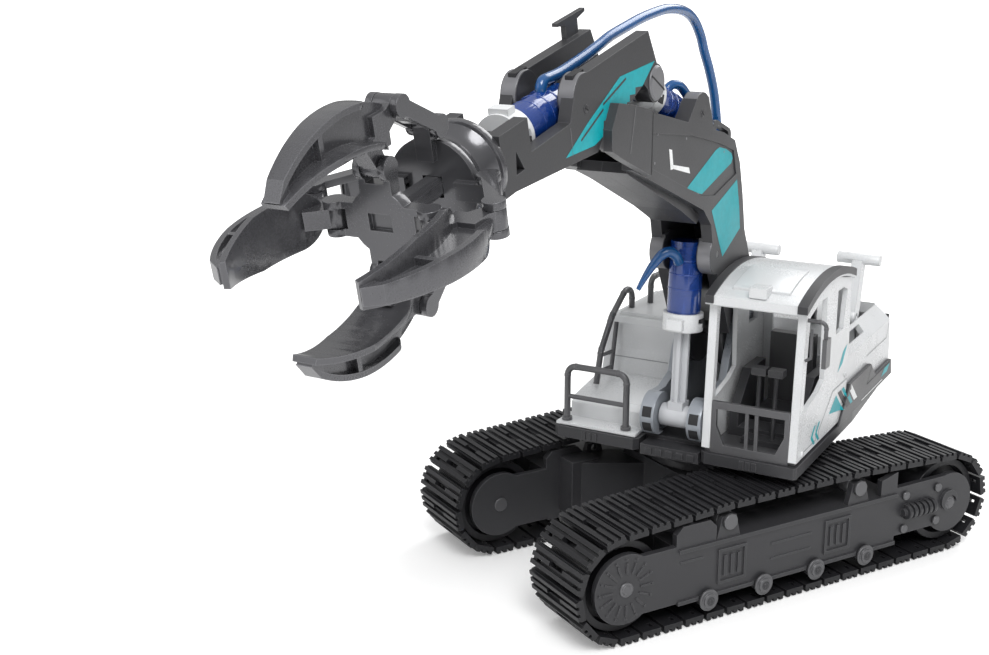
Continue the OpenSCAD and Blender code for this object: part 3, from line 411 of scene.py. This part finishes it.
def stroke(points, width):
    """Quads that follow a line of points with a width."""
    out = []
    for a, b in zip(points, points[1:]):
        dx, dy = b[0] - a[0], b[1] - a[1]
        n = math.hypot(dx, dy)
        ux, uy, w = dx / n, dy / n, width / 2
        a2, b2 = (a[0] - ux * w, a[1] - uy * w), (b[0] + ux * w, b[1] + uy * w)
        out.append([(a2[0] - uy * w, a2[1] + ux * w), (b2[0] - uy * w, b2[1] + ux * w),
                    (b2[0] + uy * w, b2[1] - ux * w), (a2[0] + uy * w, a2[1] - ux * w)])
    return out


def line(name, nodes, place, face, sign, points, width, body, mat):
    for k, quad in enumerate(stroke(points, width)):
        sticker(f"{name}_{k}", nodes, place, face, sign, quad, body, mat, cell=3.0)


def screw(name, place, centre, across, r, mat, body):
    """A domed screw head with a dark cross recess."""
    lathe(name, place, centre, across, [(0, 0.62), (r * 0.5, 0.58), (r * 0.85, 0.42), (r, 0.12), (r, -0.5), (0, -0.5)], mat, body, 24)
    z = Vector(across).normalized()
    x = z.orthogonal().normalized()
    y = z.cross(x)
    for k, (u, v) in enumerate(((x, y), (y, x))):
        bm = bmesh.new()
        c = Vector(centre) + z * 0.6
        ring = [bm.verts.new(on(place, c + u * a * r * 0.55 + v * b * r * 0.12)) for a, b in ((-1, -1), (1, -1), (1, 1), (-1, 1))]
        bm.faces.new(ring)
        o = mesh_object(f"{name}_slot{k}", bm, RECESS)
        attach(o, body)


def film(name, colour, rough=0.36):
    """Printed sticker film: even ink, a slight orange peel and tiny flecks of dust. The same flat film also carries
    the painted shade and painted highlight marks.
    """
    t = Tree(name)
    ink = t.mix(t.remap(t.noise(420.0, 3.0), 0.42, 0.62, 0.0, 1.0), rgba(colour, 0.96), rgba(colour, 1.05))
    t.put(t.bsdf.inputs["Base Color"], ink)
    t.put(t.bsdf.inputs["Roughness"], t.remap(t.noise(60.0), 0.3, 0.7, rough - 0.05, rough + 0.08))
    t.put(t.bsdf.inputs["Normal"], t.bump(t.noise(900.0, 2.0), 0.12, 0.00004))
    t.bsdf.inputs["Specular IOR Level"].default_value = 0.25
    return t.mat


TEAL = film("teal_film", (0.002, 0.34, 0.385))
INK = film("dark_film", (0.045, 0.045, 0.048), 0.4)
CHALK = film("white_film", (0.85, 0.86, 0.86))
RECESS = film("recess_shadow", (0.02, 0.02, 0.022), 0.7)
# grey lines on white parts along engraved seams and panel edges: painted shade in the grooves
SEAM_SHADE = film("white_part_seam", (0.30, 0.31, 0.32), 0.6)
# near-black flat marks for grooves, the hatch outline, notches, slots and window openings: painted shade
SHADE = film("dark_part_seam", (0.028, 0.028, 0.03), 0.6)
# pale lines on dark parts along ridges and step edges: painted highlight
RIDGE_HIGHLIGHT = film("dark_part_ridge", (0.14, 0.14, 0.145), 0.4)
RUBBER = plastic("seal_rubber", (0.012, 0.012, 0.013), 0.6, grain=0.6, painted_edge_light=0.05)
# paler grey for the lug rims, bosses and dots: a painted highlight, lighter than the dark plates these parts belong
# to
BOSS_HIGHLIGHT = plastic("boss_grey", (0.17, 0.17, 0.18), 0.33, grain=0.2, painted_edge_light=0.3, metal=0.3)


# ---------- the CAD parts ----------

for part in frame["record"]["subparts"]:
    node = part["node"]
    dress(node, BY_NODE.get(node, BY_SLOT[part["material_slot"]]))

SIDE = (0, 2)
PLAN = (0, 1)
FRONT = (1, 2)
SIDES = (("left", 1), ("right", -1))


# ---------- stickers and moulded lines ----------

def boom_stickers():
    for word, s in SIDES:
        nodes, body = [f"boom_{word}"], "boom"
        sticker(f"boom_band_{word}", nodes, UP, SIDE, s,
                [(62, 167.4), (58, 169), (33, 178.4), (29, 179), (21.5, 177.4), (15.4, 175), (13.8, 172.8), (15.4, 171), (46.4, 163), (49.4, 163.6)],
                body, TEAL)
        sticker(f"boom_shield_{word}", nodes, UP, SIDE, s, [(36.5, 155), (9, 163.6), (5, 152), (3, 142.5), (22.5, 134)], body, TEAL)
        for k, shape in enumerate((
                [(80.4, 184.2), (77.6, 183.6), (75.6, 176.4), (78.4, 176.4)],
                [(78.4, 178.4), (75.6, 176.4), (59.4, 172.6), (60.6, 175)])):
            sticker(f"boom_mark_{word}_{k}", nodes, UP, SIDE, s, shape, body, CHALK)
        # the pale crease line is a painted highlight along the step at the boom tip
        line(f"boom_tip_crease_{word}", nodes, UP, SIDE, s, [(119, 203), (122.4, 188)], 0.5, body, RIDGE_HIGHLIGHT)
        # dark line at the step near the boom tip: painted shade
        line(f"boom_tip_edge_{word}", nodes, UP, SIDE, s, [(104.4, 199.8), (104.4, 178.6)], 0.45, body, SHADE)
        # small dots in the paler grey of the painted highlight
        for k, (x, z) in enumerate(((91, 190.6), (64, 186.2), (93, 180.6), (71, 170.2), (50.5, 163.6), (24, 176.6))):
            lathe(f"boom_dot_{word}_{k}", UP, (x, s * 12.45, z), (0, s, 0), [(0, 0.2), (0.42, 0.16), (0.55, 0), (0.55, -0.2)], BOSS_HIGHLIGHT, body, 16)


def arm_stickers():
    for word, s in SIDES:
        nodes, body = [f"arm_{word}"], "arm"
        sticker(f"arm_band_{word}", nodes, UP, SIDE, s, [(163, 191), (148, 200.4), (125, 213), (97, 216.4), (113, 203.4), (143, 192.6)], body, TEAL)
        for k, (a, b) in enumerate((((152.4, 195.4), (137.4, 203.4)), ((137, 205.2), (120.6, 212)))):
            sticker(f"arm_stripe_{word}_{k}", nodes, UP, SIDE, s, stroke([a, b], 0.8)[0], body, INK, lift=0.00012)
        # the pale seam line is a painted highlight
        line(f"arm_seam_{word}", nodes, ARM, SIDE, s, [(33.4, 13.4), (33.4, 2.4)], 0.4, body, RIDGE_HIGHLIGHT)


def cab_stickers():
    nodes, body, s = ["cab_frame", "side_panels", "engine_hood"], "upper_body", 1
    for k in range(2):
        x = 22 - k * 6
        sticker(f"cab_chevron_{k}", nodes, UP, SIDE, s, [(x, 63.4), (x - 4, 67.4), (x - 6.4, 67.4), (x - 2.4, 63.4), (x - 6.4, 59.6), (x - 4, 59.6)], body, TEAL)
    sticker("cab_triangle", nodes, UP, SIDE, s, [(-3, 66.4), (-12.4, 72), (-24.4, 62.4)], body, TEAL)
    sticker("cab_stripe_dark", nodes, UP, SIDE, s, [(-14.6, 72.4), (-19.6, 72.4), (-31.6, 62.6), (-26.6, 62.6)], body, INK)
    sticker("cab_stripe_teal", nodes, UP, SIDE, s, [(-20.6, 72.4), (-24.2, 72.4), (-36.2, 62.6), (-32.6, 62.6)], body, TEAL)
    sticker("cab_stripe_white", nodes, UP, SIDE, s, [(-26.4, 72.4), (-31.6, 72.4), (-43.6, 62.6), (-38.4, 62.6)], body, CHALK)
    sticker("cab_flash", nodes, UP, SIDE, s, [(-12.4, 82), (-19, 84.4), (-25.4, 91.6), (-19, 89.6)], body, TEAL)
    # grey belt and door lines: painted shade in the engraved grooves
    line("cab_belt", nodes, UP, SIDE, s, [(11, 59), (11, 63.6), (-7, 75.4), (-27.4, 75.4)], 0.5, body, SEAM_SHADE)
    line("cab_door", nodes, UP, SIDE, s, [(31, 60.6), (15, 60.6), (15, 68)], 0.45, body, SEAM_SHADE)
    line("panel_line", ["side_panels"], UP, SIDE, s, [(-52, 58.6), (-88, 58.6)], 0.5, body, CHALK)
    sticker("panel_flash", ["side_panels"], UP, SIDE, s, [(-86, 60.4), (-96, 60.4), (-101, 63.4), (-91, 63.4)], body, TEAL)
    for word, t in SIDES:
        # grey hood edge line: painted shade in the groove
        line(f"hood_edge_{word}", ["engine_hood"], UP, SIDE, t, [(-64, 76), (-99, 76), (-103, 84)], 0.45, body, SEAM_SHADE)
    # dark seam line: painted shade in the groove
    line("panel_seam", ["side_panels"], UP, SIDE, s, [(-66.4, 71), (-60, 64), (-104, 64)], 0.35, body, SHADE)


def roof_lines():
    nodes, body = ["cab_roof"], "upper_body"
    # dark hatch outline: painted shade in the groove round the hatch
    line("roof_hatch", nodes, UP, PLAN, 1, [(36, 50), (18, 49.6), (12.6, 47), (10.6, 43), (10.6, 25), (12.6, 21), (18, 18.4), (36, 18)], 0.5, body, SHADE)


def deck_lines():
    body = "upper_body"
    # grey lid and front lines: painted shade in the engraved grooves
    line("tank_lid", ["tank_box"], UP, PLAN, 1, [(-13, -44), (-13, -23), (-54, -23), (-54, -44), (-13, -44)], 0.45, body, SEAM_SHADE)
    line("tank_front", ["tank_box"], UP, FRONT, 1, [(-48, 78), (-19, 78)], 0.45, body, SEAM_SHADE)


def hood_lines():
    for k, y in enumerate((24, -26)):
        # grey grille outline: painted shade in the groove
        line(f"hood_grille_{k}", ["engine_hood"], UP, PLAN, 1, [(-96, y - 7), (-96, y + 7), (-88, y + 7), (-88, y - 7), (-96, y - 7)], 0.5, "upper_body", SEAM_SHADE)


# ---------- trims, bosses and screws ----------

def roof_trims():
    """Dark rails that cap the two long edges of the arched roof."""
    centre, big = (4, 34), 95
    arc = [(-27.4 + 68 * k / 18) for k in range(19)]
    outer = [(x, centre[1] + math.sqrt((big + 0.35) ** 2 - (x - centre[0]) ** 2)) for x in arc]
    inner = [(x, z - 3.1) for x, z in outer]
    for word, y0, y1 in (("left", 50.6, 54.7), ("right", 13.2, 16.8)):
        plate(f"roof_trim_{word}", UP, SIDE, outer + inner[::-1], y0, y1, DARK, "upper_body", 0.4)
    plate("roof_latch", UP, PLAN, [(39.6, 30.6), (32.6, 30.6), (32, 31.2), (32, 37.4), (32.6, 38), (39.6, 38)], 122.6, 127, WHITE, "upper_body", 0.5)


def band(r):
    """Profile of a thin sleeve round a lug of radius r."""
    return [(r - 0.4, -0.1), (r - 0.05, -0.25), (r, -0.6), (r, -5.4), (r - 0.3, -5.7)]


def bosses():
    """Moulded rims round the cylinder lugs in a paler grey that is a painted highlight on these dark parts, with a
    notch on the arm's two lobes painted dark as shade.
    """
    for word, s in SIDES:
        for name, p in (("lower", (28, 136)), ("upper", (50, 194))):
            lathe(f"boom_lug_{name}_{word}", UP, (p[0], s * 13, p[1]), (0, s, 0), band(8.1), BOSS_HIGHLIGHT, "boom", 52)
        lathe(f"arm_lobe_{word}", ARM, (22, s * 13, 17.5), (0, s, 0), band(7.6), BOSS_HIGHLIGHT, "arm", 52)
        # the notch is a dark plate: painted shade
        plate(f"arm_lobe_notch_{word}", ARM, SIDE, [(18.2, 22), (26, 22), (26, 25.3), (18.2, 25.3)], s * 8.6, s * 11.4, SHADE, "arm", 0.2)
        lathe(f"arm_boss_{word}", ARM, (-32, s * 13.02, 5.2), (0, s, 0), [(0, 0.9), (5.4, 0.9), (6.1, 0.3), (6.2, -0.4)], BOSS_HIGHLIGHT, "arm", 44)
        # the slot is a dark plate: painted shade
        plate(f"arm_boss_slot_{word}", ARM, SIDE, stroke([(-36.4, 1.6), (-27.6, 8.8)], 0.7)[0], s * 13.7, s * 13.98, SHADE, "arm", 0.05)


def pin_heads():
    """Slotted heads on the ends of the pivot pins."""
    head = [(0, 0.7), (2.4, 0.62), (3.1, 0.25), (3.2, -0.3)]
    small = [(0, 0.55), (1.5, 0.5), (2.1, 0.2), (2.2, -0.3)]
    tiny = [(0, 0.3), (1.1, 0.28), (1.45, 0.1), (1.5, -0.3)]
    for word, s in SIDES:
        spots = (("boom_foot", UP, (-10, s * 13.22, 95), head, "upper_body"),
                 ("cylinder_foot", UP, (32, s * 13.22, 67), small, "upper_body"),
                 ("boom_lug_pin_upper", UP, (50, s * 13.02, 194), tiny, "boom"),
                 ("arm_lug_pin", ARM, (22, s * 13.02, 13.5), tiny, "arm"))
        for name, place, at, shape, body in spots:
            lathe(f"{name}_{word}", place, at, (0, s, 0), shape, GREY if shape != tiny else DARK, body, 28)
            y = at[1] + s * shape[0][1]
            r = shape[1][0]
            plate(f"{name}_slot_{word}", place, SIDE, stroke([(at[0] - r * 0.7, at[2] - r * 0.5), (at[0] + r * 0.7, at[2] + r * 0.5)], 0.5)[0],
                  y - 0.2 * s, y + 0.03 * s, RECESS, body, 0.01)


def screws():
    body = "upper_body"
    for k, (x, z) in enumerate(((-24, 78), (-24, 62), (33, 60.4))):
        screw(f"cab_screw_{k}", UP, (x, 53.2, z), (0, 1, 0), 1.2, WHITE, body)


# ---------- hoses and cylinders ------

def hoses():
    """The three soft hoses, round and gently bent."""
    start = [on(ARM, p) for p in ((26, 0, 19.4), (26, 0, 21), (24.2, 0, 22.6), (20, 0, 22.4), (12, 0, 21.8))]
    path = start + [on(UP, p) for p in ((125.8, 0, 218.8), (115, 0, 221.8), (105.3, 0, 224.7), (92.3, 0, 227.4), (81, 0, 229.6), (69.9, 0, 231.2),
                                        (57, 0, 232.4), (44.5, 0, 231.9), (35, 0, 230), (27.9, 0, 226.6), (21.5, 0, 221), (17.2, 0, 215),
                                        (10.6, 0, 207), (4.8, 0, 197.9), (0.8, 0, 188), (-1.4, 0, 179.6))]
    o = sweep("grapple_hose_round", smooth_path(path), 0.0019, HOSE)
    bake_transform(o)
    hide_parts("grapple_hose")

    path = smooth_path([on(UP, p) for p in ((56.2, 0.4, 200.4), (55.6, 0.8, 203), (53, 2, 204.6), (48.6, 3.2, 203.6), (43, 4, 199.4), (36.5, 4.4, 194), (29, 4.6, 189.8), (20, 4.4, 187))])
    o = sweep("arm_cylinder_hose", path, 0.0018, HOSE)
    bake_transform(o)
    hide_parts("boom_hoses")

    path = smooth_path([on(UP, p) for p in ((36, 0, 132.8), (38.2, -0.6, 135.8), (40.2, -2.6, 137.6), (42.2, -5, 136.4), (44.4, -7.8, 132.2), (46.4, -10.2, 127.4), (48.2, -12.2, 122.6))])
    n = len(path)
    radii = [0.0021 if k < n * 0.5 else 0.0021 - 0.0012 * (k / n - 0.5) / 0.5 for k in range(n)]
    o = sweep("boom_cylinder_hose", path, radii, HOSE)
    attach(o, "boom_cylinder")


def cylinder_place(start, end):
    return basis(start, end - start, LEFT)


def cylinders():
    """Moulded rings on the barrels and dark windows in the caps."""
    rods = (("boom", pivot("boom_cylinder_tilt"), None), ("arm", pivot("arm_cylinder_tilt"), None))
    for word, at, _ in rods:
        run = axis(f"{word}_piston_slide")
        a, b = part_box(f"{word}_rod")
        middle = (a + b) / 2
        if (middle - at).dot(run) < 0:
            run = -run
        place = basis(at, run, LEFT)
        for k, s in enumerate((3.2, 9, 15)):
            lathe(f"{word}_barrel_ring_{k}", place, (s, 0, 0), (1, 0, 0), [(6.7, -0.4), (6.98, -0.25), (6.98, 0.25), (6.7, 0.4)], BLUE, f"{word}_cylinder", 48)
        for k, t in enumerate((1, -1)):
            # dark blocks in the cap windows: painted shade inside the openings
            plate(f"{word}_cap_window_{k}", place, PLAN, [(27, t * 6.4), (31, t * 6.4), (31, t * 8.15), (27, t * 8.15)], -3, 0.4, SHADE, f"{word}_cylinder", 0.15)
    place = basis(on(ARM, (22, 0, 13.5)), axis("grapple_slide"), LEFT)
    for k, s in enumerate((3.2, 9, 15)):
        lathe(f"grapple_barrel_ring_{k}", place, (s, 0, 0), (1, 0, 0), [(6.7, -0.4), (6.98, -0.25), (6.98, 0.25), (6.7, 0.4)], BLUE, "arm", 48)
    for k, t in enumerate((1, -1)):
        # dark blocks in the cap windows: painted shade inside the openings
        plate(f"grapple_cap_window_{k}", place, PLAN, [(27, t * 6.4), (31, t * 6.4), (31, t * 8.15), (27, t * 8.15)], -3, 0.4, SHADE, "arm", 0.15)


def bracket_windows():
    """Dark square windows in the rounded front of the two lower brackets, painted dark as shade inside the openings.
    """
    for word, s in SIDES:
        for k, (z0, z1) in enumerate(((60.6, 65), (67.4, 71.6))):
            sticker(f"bracket_window_{word}_{k}", ["boom_brackets"], UP, FRONT, 1,
                    [(s * 8.2, z0), (s * 12.2, z0), (s * 12.2, z1), (s * 8.2, z1)], "upper_body", SHADE, cell=0.8, jump=0.9)


def roller_hubs():
    """Stepped hubs on the outer ends of the track rollers and axles."""
    low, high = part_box("track_rollers")
    out = max(high.y, -low.y) * 1000
    for word, s in SIDES:
        for k, x in enumerate((46.7, 19.2, -8.3, -35.5)):
            lathe(f"roller_hub_{word}_{k}", GROUND, (x, s * out, 9.5), (0, s, 0), [(0, 0.5), (0.9, 0.5), (1.1, 0.32), (1.15, 0.06), (1.9, 0.06), (2.0, -0.2)], DARK, "undercarriage", 24)
        low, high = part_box("wheel_axles")
        for k, x in enumerate((85, -85)):
            lathe(f"axle_hub_{word}_{k}", GROUND, (x, s * max(high.y, -low.y) * 1000, 22.5), (0, s, 0), [(0, 0.4), (1.5, 0.4), (1.9, 0.3), (2.0, 0.05), (2.7, 0.05), (2.8, -0.2)], GREY, "undercarriage", 28)


boom_stickers()
arm_stickers()
cab_stickers()
roof_lines()
deck_lines()
hood_lines()
roof_trims()
bosses()
pin_heads()
screws()
hoses()
cylinders()
bracket_windows()
roller_hubs()


# ---------- floor, light and camera ----------

def floor():
    bpy.ops.mesh.primitive_plane_add(size=60.0, location=(0, 0, -0.0004))
    o = bpy.context.object
    o.name = "floor"
    t = Tree("floor_paper")
    t.put(t.bsdf.inputs["Base Color"], t.mix(t.noise(3.0), (0.90, 0.90, 0.90, 1), (0.93, 0.93, 0.93, 1)))
    t.bsdf.inputs["Roughness"].default_value = 0.8
    t.bsdf.inputs["Specular IOR Level"].default_value = 0.2
    reach = t.nodes.new("ShaderNodeVectorMath")
    reach.operation = "LENGTH"
    t.put(reach.inputs[0], t.where)
    path = t.nodes.new("ShaderNodeLightPath")
    glow = t.math("MULTIPLY", t.remap(reach.outputs["Value"], 0.25, 1.3, 0.16, 1.0), path.outputs["Is Camera Ray"])
    t.bsdf.inputs["Emission Color"].default_value = (1, 1, 1, 1)
    t.put(t.bsdf.inputs["Emission Strength"], glow)
    o.data.materials.append(t.mat)


def area(name, at, aim, size, watts):
    d = bpy.data.lights.new(name, "AREA")
    d.shape = "DISK"
    d.size = size
    d.energy = watts
    o = bpy.data.objects.new(name, d)
    scene.collection.objects.link(o)
    o.location = at
    o.rotation_mode = "QUATERNION"
    o.rotation_quaternion = (Vector(aim) - Vector(at)).to_track_quat("-Z", "Y")


def studio():
    """White backdrop for the camera; the light itself is bright overhead and dimmer near the horizon."""
    world = bpy.data.worlds.new("studio")
    scene.world = world
    world.use_nodes = True
    nodes, links = world.node_tree.nodes, world.node_tree.links
    back = nodes["Background"]
    back.inputs["Color"].default_value = (1, 1, 1, 1)
    coord = nodes.new("ShaderNodeTexCoord")
    split = nodes.new("ShaderNodeSeparateXYZ")
    links.new(coord.outputs["Generated"], split.inputs[0])
    height = nodes.new("ShaderNodeMapRange")
    links.new(split.outputs["Z"], height.inputs["Value"])
    for key, v in (("From Min", 0.0), ("From Max", 0.9), ("To Min", 0.20), ("To Max", 0.82)):
        height.inputs[key].default_value = v
    path = nodes.new("ShaderNodeLightPath")
    pick = nodes.new("ShaderNodeMix")
    links.new(path.outputs["Is Camera Ray"], pick.inputs[0])
    links.new(height.outputs["Result"], pick.inputs[2])
    pick.inputs[3].default_value = 1.0
    links.new(pick.outputs[0], back.inputs["Strength"])


floor()
area("key", (0.55, 1.0, 1.35), (0.05, 0.05, 0.1), 0.9, 21)
area("fill", (1.3, -0.1, 0.7), (0.05, 0.05, 0.1), 1.0, 2.5)
area("back", (-1.1, -0.5, 1.1), (0.0, 0.0, 0.12), 1.0, 9)
studio()
scene.view_settings.view_transform = "Standard"

lens = bpy.data.cameras.new("photo_view")
camera = bpy.data.objects.new("photo_view", lens)
scene.collection.objects.link(camera)
look = Vector((-0.4808, -0.8435, -0.2397)).normalized()
side = look.cross(Vector((0, 0, 1))).normalized()
over = side.cross(look)
camera.matrix_world = Matrix.Translation((0.3540, 0.4358, 0.2483)) @ Matrix((side, over, -look)).transposed().to_4x4()
lens.sensor_width = 36
lens.lens = 48.74
lens.shift_y = -0.0326
lens.clip_start, lens.clip_end = 0.01, 80
scene.camera = camera
